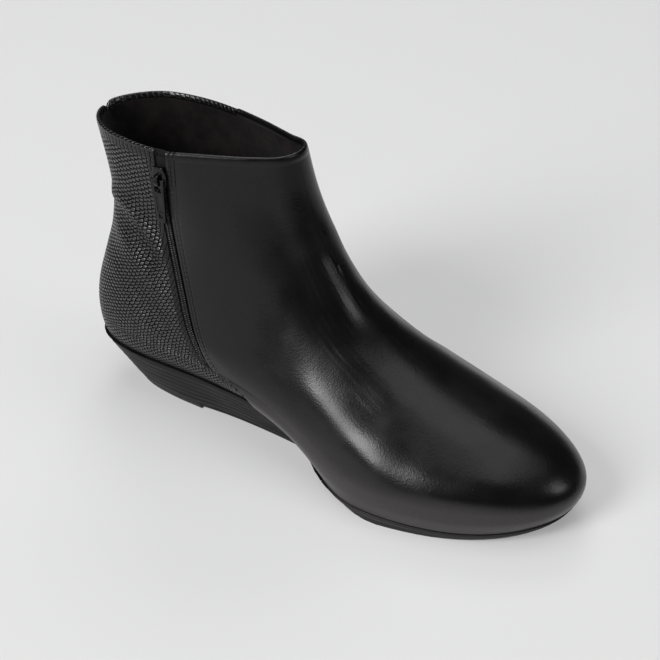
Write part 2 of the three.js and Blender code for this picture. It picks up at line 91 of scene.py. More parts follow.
# %% [markdown]
# The picture has a pale paper floor and four soft boxes. Black leather shows only what it mirrors,
# so the places of the boxes draw the boot. The key box, left of the camera, makes the broad
# highlight on the side of the forefoot, the box at the toe the one down the instep, and the box
# behind the bright line along the collar. The one overhead is large and weak, and lights the paper
# evenly. Where no box is mirrored the leather stays black.

# %% Floor and light
def soft_box(name, place, aim, width, depth, power):
    bpy.ops.object.light_add(type="AREA", location=Vector(place))
    lamp = bpy.context.object
    lamp.name = name
    lamp.data.shape = "RECTANGLE"
    lamp.data.size = width
    lamp.data.size_y = depth
    lamp.data.energy = power
    lamp.rotation_euler = (Vector(aim) - lamp.location).to_track_quat("-Z", "Y").to_euler()
    return lamp


bpy.ops.mesh.primitive_plane_add(size=6, location=(0, 0, 0))
floor = bpy.context.object
floor.name = "floor"
paper = bpy.data.materials.new("pale_paper")
paper.use_nodes = True
paper_shader = paper.node_tree.nodes["Principled BSDF"]
paper_shader.inputs["Base Color"].default_value = (0.45, 0.45, 0.452, 1)
paper_shader.inputs["Roughness"].default_value = 0.9
paper_shader.inputs["Specular IOR Level"].default_value = 0.1
paper_shader.inputs["Emission Color"].default_value = (1, 1, 1, 1)
paper_shader.inputs["Emission Strength"].default_value = 0.27
floor.data.materials.append(paper)

soft_box("key", (-0.95, -2.5, 1.75), (0, 0, 0.05), 1.15, 1.6, 98)
soft_box("side", (2.2, 0.3, 1.5), (0, 0, 0.05), 0.9, 0.8, 9)
soft_box("behind", (-0.9, 1.6, 2.0), (0, 0, 0.05), 1.2, 0.8, 15)
soft_box("overhead", (0, 0.1, 2.7), (0, 0, 0.05), 2.4, 2.4, 33)

world = bpy.data.worlds.new("studio")
bpy.context.scene.world = world
world.use_nodes = True
world.node_tree.nodes["Background"].inputs["Color"].default_value = (0.93, 0.94, 0.96, 1)
world.node_tree.nodes["Background"].inputs["Strength"].default_value = 0.04
bpy.context.scene.view_settings.view_transform = "Standard"

# %% [markdown]
# Each finish is a small node graph. These helpers add a node, wire it, and turn a height into
# a bump whose depth is a real one.

# %% Helpers for finishes
def finish_named(name, colour, roughness, specular=0.5):
    material = bpy.data.materials.new(name)
    material.use_nodes = True
    shader = material.node_tree.nodes["Principled BSDF"]
    shader.inputs["Base Color"].default_value = (*colour, 1)
    shader.inputs["Roughness"].default_value = roughness
    shader.inputs["Specular IOR Level"].default_value = specular
    return material, shader


def add_node(material, kind, settings=None, **sockets):
    node = material.node_tree.nodes.new(kind)
    for name, value in (settings or {}).items():
        setattr(node, name, value)
    for name, value in sockets.items():
        socket = node.inputs[int(name[1:])] if name[0] == "i" and name[1:].isdigit() else node.inputs[name]
        if isinstance(value, bpy.types.NodeSocket):
            material.node_tree.links.new(value, socket)
        else:
            socket.default_value = value
    return node


def maths(material, operation, first, second=0.0, third=0.0):
    node = add_node(material, "ShaderNodeMath", {"operation": operation}, i0=first, i1=second, i2=third)
    return node.outputs[0]


def between(material, value, low, high, to_low=0.0, to_high=1.0):
    """A soft step from to_low to to_high, while the value goes from low to high."""
    node = add_node(material, "ShaderNodeMapRange", {"interpolation_type": "SMOOTHSTEP"})
    for name, number in (("From Min", low), ("From Max", high), ("To Min", to_low), ("To Max", to_high)):
        node.inputs[name].default_value = number
    material.node_tree.links.new(value, node.inputs["Value"])
    return node.outputs["Result"]


def object_place(material):
    return add_node(material, "ShaderNodeTexCoord").outputs["Object"]


def marked(material, name):
    """A number that the mesh carries at its corners."""
    return add_node(material, "ShaderNodeAttribute", {"attribute_name": name}).outputs["Fac"]


def near(material, value, middle, width):
    """Nought at the middle of a groove, one outside it."""
    away = maths(material, "ABSOLUTE", maths(material, "SUBTRACT", value, middle))
    return between(material, away, 0.0, width)


def noise(material, place, size, detail=3.0, roughness=0.5, distortion=0.0):
    """A cloudy height whose lumps are about size metres across."""
    node = add_node(material, "ShaderNodeTexNoise", Vector=place, Scale=1 / size, Detail=detail,
                    Roughness=roughness, Distortion=distortion)
    return node.outputs["Fac"]


def bump(material, shader, heights):
    """Stacks bumps: each height, with the depth in metres between its 0 and its 1."""
    normal = None
    for height, depth in heights:
        node = add_node(material, "ShaderNodeBump", Height=height, Distance=depth, Strength=1.0)
        if normal is not None:
            material.node_tree.links.new(normal, node.inputs["Normal"])
        normal = node.outputs["Normal"]
    material.node_tree.links.new(normal, shader.inputs["Normal"])


def tint(material, shader, factor, dark, light):
    """The base colour runs from dark to light with a factor."""
    mixer = add_node(material, "ShaderNodeMix", {"data_type": "RGBA"})
    material.node_tree.links.new(factor, mixer.inputs["Factor"])
    mixer.inputs[6].default_value = (*dark, 1)
    mixer.inputs[7].default_value = (*light, 1)
    material.node_tree.links.new(mixer.outputs[2], shader.inputs["Base Color"])


# %% [markdown]
# The vamp is smooth black calf: a fine pebble grain, three quarters of a millimetre across, that
# only shows in the highlights, and broad soft waves where the hide was pulled over the last. The
# grain is a bump of a few hundredths of a millimetre. A groove runs along each stitch row, and a
# faint step shows where the collar's fold ends. The walls near the sole and the underside get a
# paler base colour, a painted reflection of the pale floor, while the top of the toe stays black.
# A few motes of dust lie on the leather.

# %% Smooth leather
FOLD_DEEP = 4.2         # millimetres of leather turned in at the collar
SEAM_ROWS = (1.8, 3.8)  # the two stitch rows, in millimetres from the folded edge


def smooth_leather():
    material, shader = finish_named("smooth_leather", (0.0028, 0.0026, 0.0028), 0.3, 0.3)
    place = object_place(material)
    pebble = add_node(material, "ShaderNodeTexVoronoi", {"feature": "SMOOTH_F1"}, Vector=place,
                      Scale=1 / (0.75 * MM), Smoothness=0.6, Randomness=1.0).outputs["Distance"]
    creased = noise(material, place, 1.7 * MM, 4.0, 0.6, 0.6)
    waves = noise(material, place, 26 * MM, 1.5, 0.4)
    patches = noise(material, place, 18 * MM, 2.0, 0.5)
    depth = marked(material, "depth")
    beside = marked(material, "beside")
    folded_band = between(material, depth, FOLD_DEEP - 0.7, FOLD_DEEP + 0.5, 1.0, 0.0)
    first_seam, second_seam = [near(material, beside, row, 0.6) for row in SEAM_ROWS]
    seam = maths(material, "MINIMUM", first_seam, second_seam)
    seam = maths(material, "MAXIMUM", seam, between(material, marked(material, "row"), 16.8, 17.6))
    bump(material, shader, [(waves, 0.6 * MM), (folded_band, 0.4 * MM), (seam, 0.3 * MM),
                            (creased, 0.04 * MM), (pebble, 0.03 * MM)])
    height = add_node(material, "ShaderNodeSeparateXYZ", Vector=place).outputs["Z"]
    facing = add_node(material, "ShaderNodeNewGeometry").outputs["Normal"]
    facing_up = add_node(material, "ShaderNodeSeparateXYZ", Vector=facing).outputs["Z"]
    # Painted floor reflection: walls near the sole and faces turned down get a paler base colour; the motes
    # below are dust.
    wall = between(material, facing_up, 0.05, 0.5, 1.0, 0.0)
    low = maths(material, "MULTIPLY", between(material, height, 20 * MM, 56 * MM, 0.7, 0.0), wall)
    under = between(material, facing_up, -0.3, 0.1, 1.0, 0.0)
    motes = add_node(material, "ShaderNodeTexVoronoi", Vector=place, Scale=1 / (8 * MM)).outputs["Distance"]
    motes = between(material, motes, 0.018, 0.03, 1.0, 0.0)
    floor_reflection_and_motes = maths(material, "MAXIMUM", maths(material, "MAXIMUM", low, under), motes)
    tint(material, shader, floor_reflection_and_motes, (0.0028, 0.0026, 0.0028), (0.045, 0.041, 0.0425))
    rough = between(material, patches, 0.35, 0.7, 0.26, 0.34)
    material.node_tree.links.new(rough, shader.inputs["Roughness"])
    return material


leather = smooth_leather()

# %% [markdown]
# The quarter is embossed with a reptile grain: columns of low scales, each between two and three
# millimetres wide, and each column is half a scale lower than the one beside it. A scale is a soft
# dome with a shiny top, and the groove between two is dull and deep, and painted darker as painted
# shade. The columns follow the leather, so they read a UV map laid out in scales. Near a folded
# edge the scales are hammered flat.

# %% Scale-embossed leather
def scale_leather():
    material, shader = finish_named("scale_leather", (0.003, 0.0028, 0.003), 0.3, 0.5)
    place = object_place(material)
    chart = add_node(material, "ShaderNodeUVMap", {"uv_map": "scales"}).outputs["UV"]
    drift = add_node(material, "ShaderNodeTexNoise", Vector=place, Scale=1 / (7 * MM), Detail=2.0)
    shift = add_node(material, "ShaderNodeVectorMath", {"operation": "MULTIPLY_ADD"},
                     i0=drift.outputs["Color"], i1=(0.9, 0.6, 0), i2=chart).outputs[0]
    split = add_node(material, "ShaderNodeSeparateXYZ", Vector=shift)
    along, up = split.outputs[0], split.outputs[1]
    column = maths(material, "FLOOR", along)
    half_step = maths(material, "MULTIPLY", maths(material, "FLOORED_MODULO", column, 2.0), 0.5)
    across = maths(material, "FRACT", along)
    from_side = maths(material, "ABSOLUTE", maths(material, "SUBTRACT", across, 0.5))
    upward = maths(material, "FRACT", maths(material, "ADD", up, half_step))
    from_row = maths(material, "ABSOLUTE", maths(material, "SUBTRACT", upward, 0.5))
    depth = marked(material, "depth")
    beside = marked(material, "beside")
    by_rim = between(material, depth, 4.0, 7.5)
    by_edge = maths(material, "MINIMUM", by_rim, between(material, beside, 2.6, 4.6))
    by_sole = between(material, marked(material, "row"), 22.0, 24.6, 1.0, 0.3)
    flat = maths(material, "MULTIPLY", by_edge, by_sole)
    side_fall = maths(material, "POWER", maths(material, "MULTIPLY", from_side, 2.0), 6.0)
    row_fall = maths(material, "POWER", maths(material, "MULTIPLY", from_row, 2.0), 2.0)
    row_fall = maths(material, "MULTIPLY", row_fall, between(material, flat, 0.0, 1.0, 0.25, 1.0))
    fall = maths(material, "MULTIPLY", maths(material, "ADD", side_fall, row_fall), 1.1)
    dome = maths(material, "SUBTRACT", 1.0, maths(material, "MINIMUM", fall, 1.0))
    relief = maths(material, "MULTIPLY", dome, between(material, flat, 0.0, 1.0, 0.45, 1.0))
    grain = noise(material, place, 0.4 * MM, 3.0)
    waves = noise(material, place, 22 * MM, 1.5, 0.4)
    back_seam = near(material, marked(material, "around"), 0.0, 1.3)
    bump(material, shader, [(waves, 0.5 * MM), (back_seam, 0.5 * MM),
                            (relief, 0.55 * MM), (grain, 0.03 * MM)])
    rough = between(material, dome, 0.2, 0.9, 0.55, 0.24)
    material.node_tree.links.new(rough, shader.inputs["Roughness"])
    shine = maths(material, "MULTIPLY", between(material, dome, 0.15, 0.75, 0.02, 0.8),
                  between(material, flat, 0.0, 1.0, 0.35, 1.0))
    rim_shine = between(material, depth, 1.8, 2.6, 0.6, 0.0)
    gloss = maths(material, "MAXIMUM", shine, rim_shine)
    material.node_tree.links.new(gloss, shader.inputs["Specular IOR Level"])
    # Painted shade: the base colour is darker in the grooves and lighter on the tops of the scales.
    tops = between(material, dome, 0.0, 0.6)
    tint(material, shader, tops, (0.0008, 0.0008, 0.0008), (0.0045, 0.004, 0.0042))
    return material


scaled = scale_leather()

# %% [markdown]
# Inside is a short dark fleece. It is soft, so it has a little sheen and hardly a highlight, and
# its pile lies in patches, which a coarse noise shades.

# %% Fleece, sock, tape and thread
BAND_SHARE = 6.3        # divides a wave's scale, so that one band is about two threads wide


def fleece():
    material, shader = finish_named("fleece_lining", (0.004, 0.003, 0.003), 0.95, 0.1)
    place = object_place(material)
    pile = noise(material, place, 0.7 * MM, 5.0, 0.7)
    patches = noise(material, place, 9 * MM, 3.0, 0.6)
    brushed = between(material, patches, 0.35, 0.7)
    tint(material, shader, brushed, (0.0022, 0.0016, 0.0015), (0.0085, 0.0062, 0.0058))
    bump(material, shader, [(patches, 0.6 * MM), (pile, 0.35 * MM)])
    shader.inputs["Sheen Weight"].default_value = 0.04
    shader.inputs["Sheen Roughness"].default_value = 0.6
    return material


def woven(name, colour, thread_size, roughness=0.85):
    material, shader = finish_named(name, colour, roughness, 0.25)
    place = object_place(material)
    weave = add_node(material, "ShaderNodeTexWave", {"bands_direction": "Z"}, Vector=place,
                     Scale=1 / (thread_size * BAND_SHARE), Distortion=0.6, Detail=1.0).outputs["Fac"]
    ribs = add_node(material, "ShaderNodeTexWave", {"bands_direction": "X"}, Vector=place,
                    Scale=1 / (thread_size * BAND_SHARE), Distortion=0.6, Detail=1.0).outputs["Fac"]
    cloth = maths(material, "MULTIPLY", weave, ribs)
    bump(material, shader, [(cloth, 0.12 * MM), (noise(material, place, 0.4 * MM), 0.05 * MM)])
    return material


def thread_finish():
    material, shader = finish_named("thread", (0.0025, 0.0024, 0.0024), 0.55, 0.12)
    twist = add_node(material, "ShaderNodeTexWave", {"bands_direction": "DIAGONAL"},
                     Vector=object_place(material), Scale=1 / (0.25 * MM * BAND_SHARE)).outputs["Fac"]
    bump(material, shader, [(twist, 0.05 * MM)])
    return material


lining_finish = fleece()
tape_finish = woven("zip_tape_cloth", (0.004, 0.004, 0.0042), 0.35 * MM)
sock_finish = woven("insole_cloth", (0.010, 0.008, 0.0075), 0.5 * MM)
thread = thread_finish()

# %% [markdown]
# The wedge is covered in dark board that looks stacked: streaks run along its layers. The sole is
# dull rubber. The slider and its tab are black lacquered metal, and the coil is black nylon.

# %% Wedge, rubber, metal and nylon
def wedge_cover():
    material, shader = finish_named("wedge_cover", (0.006, 0.0056, 0.0058), 0.5, 0.16)
    place = object_place(material)
    streaks_place = add_node(material, "ShaderNodeMapping", Vector=place, Scale=(1, 1, 14)).outputs[0]
    streaks = noise(material, streaks_place, 14 * MM, 3.0, 0.6)
    layers = between(material, streaks, 0.3, 0.7)
    tint(material, shader, layers, (0.003, 0.0028, 0.0029), (0.007, 0.0065, 0.0067))
    bump(material, shader, [(streaks, 0.12 * MM), (noise(material, place, 0.5 * MM, 3.0), 0.04 * MM)])
    rough = between(material, streaks, 0.3, 0.7, 0.44, 0.6)
    material.node_tree.links.new(rough, shader.inputs["Roughness"])
    return material


def sole_rubber():
    material, shader = finish_named("sole_rubber", (0.006, 0.0058, 0.0058), 0.6)
    place = object_place(material)
    scuffs = noise(material, place, 6 * MM, 5.0, 0.7)
    rubbed = between(material, scuffs, 0.45, 0.75)
    tint(material, shader, rubbed, (0.0045, 0.0043, 0.0043), (0.011, 0.0105, 0.010))
    bump(material, shader, [(noise(material, place, 0.6 * MM, 3.0), 0.06 * MM)])
    return material


def lacquered_metal():
    material, shader = finish_named("lacquered_metal", (0.0025, 0.0025, 0.0027), 0.17, 0.3)
    place = object_place(material)
    bump(material, shader, [(noise(material, place, 1.2 * MM, 2.0), 0.03 * MM)])
    return material


def nylon():
    material, shader = finish_named("nylon_coil", (0.007, 0.007, 0.0073), 0.28, 0.7)
    bump(material, shader, [(noise(material, object_place(material), 0.5 * MM, 2.0), 0.02 * MM)])
    return material


cover = wedge_cover()
rubber = sole_rubber()
metal = lacquered_metal()
coil_finish = nylon()
print("finishes:", len(bpy.data.materials))

# %% [markdown]
# These helpers pick one piece, copy a node's mesh, apply a modifier, and give a piece its finish.

# %% Helpers for meshes
def only(piece):
    """Select this piece alone, and make it active."""
    bpy.ops.object.select_all(action="DESELECT")
    piece.select_set(True)
    bpy.context.view_layer.objects.active = piece


def copy_of(node, name):
    """A node's mesh as a new piece, with its loose triangles joined."""
    piece = bpy.data.objects.new(name, nodes[node].data.copy())
    bpy.context.scene.collection.objects.link(piece)
    only(piece)
    piece.data.materials.clear()
    bpy.ops.mesh.customdata_custom_splitnormals_clear()
    bpy.ops.object.mode_set(mode="EDIT")
    bpy.ops.mesh.select_all(action="SELECT")
    bpy.ops.mesh.remove_doubles(threshold=0.002 * MM)
    bpy.ops.object.mode_set(mode="OBJECT")
    return piece


def modify(piece, kind, **settings):
    """Add a modifier and apply it."""
    only(piece)
    modifier = piece.modifiers.new(kind.lower(), kind)
    for name, value in settings.items():
        setattr(modifier, name, value)
    if kind == "SUBSURF":
        modifier.render_levels = modifier.levels
    bpy.ops.object.modifier_apply(modifier=modifier.name)


def smooth(piece, degrees=40):
    only(piece)
    bpy.ops.object.shade_smooth_by_angle(angle=math.radians(degrees))


def wear(piece, material, body="boot", replaced=()):
    """Give a piece its finish, and let it ride on its body."""
    piece.data.materials.clear()
    piece.data.materials.append(material)
    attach(piece, body)
    if replaced:
        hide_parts(*replaced)


# %% [markdown]
# The upper's solid is one shell of thin triangles. Its corners lie in rings round the boot and in
# columns from sole to collar, as thread lies in a net. Walking straight on through each six-way
# corner gives back these rings and columns, and then every panel has an address in the net.

# %% Walk the shell's net
def net_of(mesh):
    """The shell's corners as rows: rim first, down the outside, then up the inside."""
    after = {}
    for face in mesh.polygons:
        a, b, c = face.vertices
        after[a, b], after[b, c], after[c, a] = c, a, b
    spot = [corner.co for corner in mesh.vertices]

    def turned(at, towards, steps):
        for _ in range(steps):
            towards = after[at, towards]
        return towards

    def walk(first, second):
        line = [first, second]
        while True:
            onward = turned(line[-1], line[-2], 3)
            if onward == first:
                return line
            line.append(onward)

    top = max(range(len(spot)), key=lambda i: spot[i].z)
    beside = max((b for a, b in after if a == top), key=lambda i: spot[i].z)
    rim = walk(top, beside)
    front = max(range(len(rim)), key=lambda i: spot[rim[i]].x)
    if spot[rim[(front + 1) % len(rim)]].y < spot[rim[front - 1]].y:
        rim.reverse()
    back = min(range(len(rim)), key=lambda i: spot[rim[i]].x)
    rim = rim[back:] + rim[:back]

    def slant(steps):
        total = 0
        for i, corner in enumerate(rim):
            forward = (spot[rim[(i + 1) % len(rim)]] - spot[corner]).normalized()
            side = spot[turned(corner, rim[(i + 1) % len(rim)], steps)] - spot[corner]
            total += abs(side.normalized().dot(forward))
        return total

    steps = min((1, 2), key=slant)
    if spot[turned(rim[0], rim[1], steps)].x > spot[rim[0]].x:
        steps += 3
    columns = [walk(rim[i], turned(rim[i], rim[(i + 1) % len(rim)], steps)) for i in range(len(rim))]
    return [list(row) for row in zip(*columns)]


shell = copy_of("upper", "shell")
net = net_of(shell.data)
row_count, column_count = len(net), len(net[0])
print("net:", row_count, "rows of", column_count, "corners,", len(shell.data.vertices), "in all")

# %% [markdown]
# The diagonals of the net go first, so that the shell is made of four-sided patches, which a
# subdivision surface rounds without lumps. Each corner keeps its row and its column as numbers,
# and its depth below the rim in millimetres. The patches get a UV map laid out in scales: counted
# round the boot from the back seam, and up from the sole.

# %% Patches, addresses and the chart for the scales
QUARTER_END = 11        # last column of the quarter, at the zip
VAMP_START = 16         # the vamp's folded edge beside the zip
VAMP_END = 58           # the vamp's folded edge on the outer side
FRONT = 37              # the column down the front, over the instep to the toe
RIM = 0                 # row along the top of the rim; rows inside the boot count down from it
TOP_ROW = 1
OUTSIDE_FOOT = 25       # row of the outer feather line
ZIP_FOOT = 17           # row where the zip's channel ends
SCALE_LONG = (2.65, 2.1)  # a scale round the boot, at the collar and at the sole, in millimetres
SCALE_TALL = 2.1          # a scale up the boot
SHAFT_DEEP = 110          # millimetres of leather from the rim to the sole

spot = [corner.co.copy() for corner in shell.data.vertices]
address = {corner: (row, column) for row, line in enumerate(net) for column, corner in enumerate(line)}
threads = set()
for row in range(row_count):
    for column in range(column_count):
        here = net[row][column]
        threads.add(frozenset((here, net[row][(column + 1) % column_count])))
        threads.add(frozenset((here, net[(row + 1) % row_count][column])))

only(shell)
bpy.ops.object.mode_set(mode="EDIT")
bpy.ops.mesh.select_mode(type="EDGE")
bpy.ops.mesh.select_all(action="DESELECT")
bpy.ops.object.mode_set(mode="OBJECT")
for edge in shell.data.edges:
    edge.select = frozenset(edge.vertices) not in threads
bpy.ops.object.mode_set(mode="EDIT")
bpy.ops.mesh.dissolve_edges(use_verts=False)
bpy.ops.object.mode_set(mode="OBJECT")


def depth_below_rim(row, column):
    """Millimetres down the leather from the rim, outside or inside."""
    down = range(1, row + 1) if row <= OUTSIDE_FOOT else range(row + 1, row_count + 1)
    return sum((spot[net[r % row_count][column]] - spot[net[r - 1][column]]).length for r in down) / MM


def round_from_back(row, column):
    """Metres along a row from the back seam, less than nothing on the outer side."""
    half = column if column <= FRONT else column - column_count
    step = 1 if half > 0 else -1
    places = [spot[net[row][c % column_count]] for c in range(0, half + step, step)] if half else []
    return step * sum((b - a).length for a, b in zip(places, places[1:]))


def beside_border(row, column):
    """Metres along a row to the closest folded edge: beside the zip, or on the outer side."""
    lengths = []
    for edge in (QUARTER_END, VAMP_START, VAMP_END):
        first, last = sorted((column, edge))
        lengths.append(sum((spot[net[row][c + 1]] - spot[net[row][c]]).length for c in range(first, last)))
    return min(lengths)


marks = {
    "row": lambda row, column: row if row <= OUTSIDE_FOOT else row - row_count,
    "column": lambda row, column: column,
    "depth": depth_below_rim,
    "around": lambda row, column: round_from_back(row, column) / MM,
    "beside": lambda row, column: beside_border(row, column) / MM,
}
for name, measure in marks.items():
    shell.data.attributes.new(name, "FLOAT", "POINT")
    values = [measure(*address[corner]) for corner in range(len(spot))]
    shell.data.attributes[name].data.foreach_set("value", values)


def chart_place(row, column, outer):
    """Counted in scales: round from the back seam, and down from the rim."""
    around = round_from_back(row, column) / MM
    if row <= OUTSIDE_FOOT:
        down = depth_below_rim(row, column)
    else:
        down = -depth_below_rim(row, column)
    share = min(max(down / SHAFT_DEEP, 0), 1)
    long = SCALE_LONG[0] + (SCALE_LONG[1] - SCALE_LONG[0]) * share
    return around / long + (0.37 if outer else 0), 200 - down / SCALE_TALL


chart = shell.data.uv_layers.new(name="scales")
for face in shell.data.polygons:
    columns_here = [address[shell.data.loops[i].vertex_index][1] for i in face.loop_indices]
    outer = max(columns_here) > FRONT
    for i in face.loop_indices:
        row, column = address[shell.data.loops[i].vertex_index]
        chart.data[i].uv = chart_place(row, column, outer)
print("patches:", len(shell.data.polygons), "of which four-sided",
      sum(1 for face in shell.data.polygons if len(face.vertices) == 4))

# %% [markdown]
# A panel is a part of the net. Its patches are copied out, rounded by a subdivision surface, and
# then the leather gets its thickness, with a rolled edge where it is folded.

# %% Cut a panel out of the net
def panel(name, wanted, levels=2):
    """The patches whose columns and rows pass the test, as a rounded piece of its own."""
    piece = bpy.data.objects.new(name, shell.data.copy())
    bpy.context.scene.collection.objects.link(piece)
    only(piece)
    bpy.ops.object.mode_set(mode="EDIT")
    bpy.ops.mesh.select_mode(type="FACE")
    bpy.ops.mesh.select_all(action="DESELECT")
    bpy.ops.object.mode_set(mode="OBJECT")
    rows = piece.data.attributes["row"].data
    columns = piece.data.attributes["column"].data
    for face in piece.data.polygons:
        face_rows = [rows[i].value for i in face.vertices]
        face_columns = [columns[i].value for i in face.vertices]
        if max(face_columns) - min(face_columns) > 5:
            face_columns = [c if c > 5 else column_count for c in face_columns]
        underside = max(face_rows) - min(face_rows) > 5
        face.select = underside or not wanted(sum(face_columns) / 4, sum(face_rows) / 4)
    bpy.ops.object.mode_set(mode="EDIT")
    bpy.ops.mesh.delete(type="FACE")
    bpy.ops.object.mode_set(mode="OBJECT")
    if levels:
        modify(piece, "SUBSURF", levels=levels, uv_smooth="PRESERVE_BOUNDARIES")
    return piece


LINING_START = 2.2      # millimetres of turned-in leather above the lining
FOLD_IN = -2            # rows from here to the rim are the leather turned in over it


def on_quarter(column, row):
    outside = row > FOLD_IN
    under_zip = QUARTER_END < column < VAMP_START and ZIP_FOOT < row < OUTSIDE_FOOT
    return outside and (column < QUARTER_END or column > VAMP_END + 1) or under_zip


def on_vamp(column, row):
    return row > FOLD_IN and VAMP_START < column < VAMP_END


def in_channel(column, row):
    return QUARTER_END < column < VAMP_START and FOLD_IN < row < ZIP_FOOT


quarter = panel("quarter", on_quarter)
vamp = panel("vamp", on_vamp)
channel = panel("zip_bed", in_channel)
lining = panel("lining", lambda column, row: row < RIM)
bpy.data.objects.remove(shell)

only(lining)
bpy.ops.object.mode_set(mode="EDIT")
bpy.ops.mesh.select_all(action="DESELECT")
bpy.ops.object.mode_set(mode="OBJECT")
deep = [value.value for value in lining.data.attributes["depth"].data]
for face in lining.data.polygons:
    face.select = min(deep[i] for i in face.vertices) < LINING_START
bpy.ops.object.mode_set(mode="EDIT")
bpy.ops.mesh.delete(type="FACE")
bpy.ops.object.mode_set(mode="OBJECT")
lining_top = min(value.value for value in lining.data.attributes["depth"].data)
print("lining starts", round(lining_top, 1), "mm below the rim")
for piece in (quarter, vamp, channel, lining):
    print(piece.name, len(piece.data.vertices), "corners")

# %% [markdown]
# Worn and packed leather creases softly. Each crease is a line drawn on the side of the boot, in
# millimetres from its middle, and the leather sinks or rises along it with a soft section. A raised
# fold runs from the back of the ankle down to the zip, with the deepest trough under it. At the
# collar the two quarters meet in a notch, and below the zip the quarter runs on as a strip.

# %% Creases
def along(line, x, z):
    """Distance from a point to a line of points, all seen from the side, in millimetres."""
    best = 1e9
    for (x0, z0), (x1, z1) in zip(line, line[1:]):
        run = (x1 - x0) ** 2 + (z1 - z0) ** 2
        share = min(max(((x - x0) * (x1 - x0) + (z - z0) * (z1 - z0)) / run, 0), 1)
        best = min(best, math.hypot(x - x0 - share * (x1 - x0), z - z0 - share * (z1 - z0)))
    return best


def press(piece, line, width, depth, inner=True):
    """Sink the leather by depth along a line, or raise it where depth is below nothing."""
    for corner in piece.data.vertices:
        if (corner.co.y < 0) != inner:
            continue
        away = along(line, corner.co.x / MM, corner.co.z / MM)
        if away < width:
            bell = (1 + math.cos(math.pi * away / width)) / 2
            corner.co -= corner.normal * depth * MM * bell
    piece.data.update()


ankle_crease = [(-105, 110), (-98.5, 110.5), (-92, 109), (-84, 103), (-77, 96.5), (-73, 92)]
under_crease = [(-97, 100), (-89, 95), (-82, 87)]
heel_fold = [(-108, 84), (-96, 78), (-86, 66), (-78, 58)]
outer_heel_fold = [(-108, 104), (-96, 104), (-84, 96)]
outer_instep_hollow = [(0, 92), (14, 72), (34, 54)]
instep_hollow = [(-2, 96), (8, 76), (22, 62), (38, 50)]
ball_bulge = [(-3, 66), (12, 54), (30, 44), (48, 33)]
shaft_hollow = [(-22, 138), (-16, 120), (-4, 100)]
press(quarter, ankle_crease, 6.5, -1.3)
press(quarter, under_crease, 10, 1.4)
press(quarter, heel_fold, 12, 0.7)
press(vamp, instep_hollow, 16, 0.9)
press(vamp, ball_bulge, 15, -0.5)
press(vamp, shaft_hollow, 12, 0.4)
press(quarter, outer_heel_fold, 9, 0.8, inner=False)
press(vamp, outer_instep_hollow, 16, 0.7, inner=False)
print("creases pressed")

NOTCH_DEEP, NOTCH_WIDE = 1.8, 2.8   # the notch at the back of the rim, and half its width
LAP_DEEP, LAP_LONG = 1.1, 16        # the inner quarter lies lower at the back, less so forwards
NOTCH_FADE = 9                      # both fade out this far below the rim, all in millimetres
STRIP_ROOT, STRIP_END = 12, 22      # columns between which the leather is drawn forward
STRIP_RISE = 2.5                    # columns over which the pull grows to its full length
LIP_COLUMNS = 3                     # columns over which the vamp's edge is raised
VAMP_LIFT = 0.5                     # millimetres the vamp's edge is raised over the strip
STRIP_SUNK = 0.8                    # millimetres the strip lies deeper beside the vamp
VAMP_PROUD = 0.8                    # millimetres the vamp's edge stands over the quarter
# Millimetres forward in each row, from the zip's foot down.
STRIP_STEPS = (0, 2.6, 3.6, 4.0, 4.3, 4.7, 5.2, 5.7, 6.2)


def notch_back_seam(piece):
    """The two quarters meet in a small notch at the back of the rim, and the inner one lies lower."""
    marks_here = [piece.data.attributes[name].data for name in ("depth", "around")]
    for i, corner in enumerate(piece.data.vertices):
        deep, around = marks_here[0][i].value, marks_here[1][i].value
        fade = max(0, 1 - deep / NOTCH_FADE)
        notch = NOTCH_DEEP * max(0, 1 - abs(around) / NOTCH_WIDE)
        step = LAP_DEEP * max(0, 1 - around / LAP_LONG) if around >= 0 else 0
        corner.co.z -= (notch + step) * fade * MM
    piece.data.update()


def widen_strip(piece):
    """Below the zip the quarter runs on in a pointed strip, so the vamp's edge steps forward."""
    rows = piece.data.attributes["row"].data
    columns = piece.data.attributes["column"].data
    for i, corner in enumerate(piece.data.vertices):
        row, column = rows[i].value, columns[i].value
        if ZIP_FOOT < row and STRIP_ROOT < column < STRIP_END:
            low = min(math.floor(row), OUTSIDE_FOOT - 1)
            part = row - low
            step = STRIP_STEPS[low - ZIP_FOOT] * (1 - part) + STRIP_STEPS[low + 1 - ZIP_FOOT] * part
            if column < VAMP_START:
                step *= min(1, (column - STRIP_ROOT) / STRIP_RISE)
            else:
                step *= (STRIP_END - column) / (STRIP_END - VAMP_START)
            forward = (spot[net[low][VAMP_START + 2]] - spot[net[low][VAMP_START]]).normalized()
            corner.co += forward * step * MM
            if piece is quarter:
                sunk = STRIP_SUNK * min(1, (column - STRIP_ROOT) / STRIP_RISE)
                under_vamp = VAMP_PROUD * max(0, column - VAMP_START + 1)
                corner.co.y += (sunk + under_vamp) * MM * min(1, step / 2)
            elif column < VAMP_START + LIP_COLUMNS:
                raised = (VAMP_START + LIP_COLUMNS - column) / LIP_COLUMNS
                corner.co.y -= VAMP_LIFT * MM * min(1, step / 2) * raised
    piece.data.update()


notch_back_seam(quarter)
notch_back_seam(lining)
widen_strip(quarter)
widen_strip(vamp)

# %% [markdown]
# Borders are remembered before the leather gets its thickness, because the stitches follow them.
# Then each panel is thickened inwards and its open edges are rolled over with a small bevel, as
# folded and hammered leather is.

# %% Borders and thickness
def border(piece, column, first_row, last_row):
    """The corners of a panel that lie on one column of the net, from the rim down."""
    mesh = piece.data
    columns = mesh.attributes["column"].data
    rows = mesh.attributes["row"].data
    found = [(rows[i].value, corner.co.copy()) for i, corner in enumerate(mesh.vertices)
             if abs(columns[i].value - column) < 0.01 and first_row <= rows[i].value <= last_row]
    return [place for row, place in sorted(found, key=lambda pair: pair[0])]


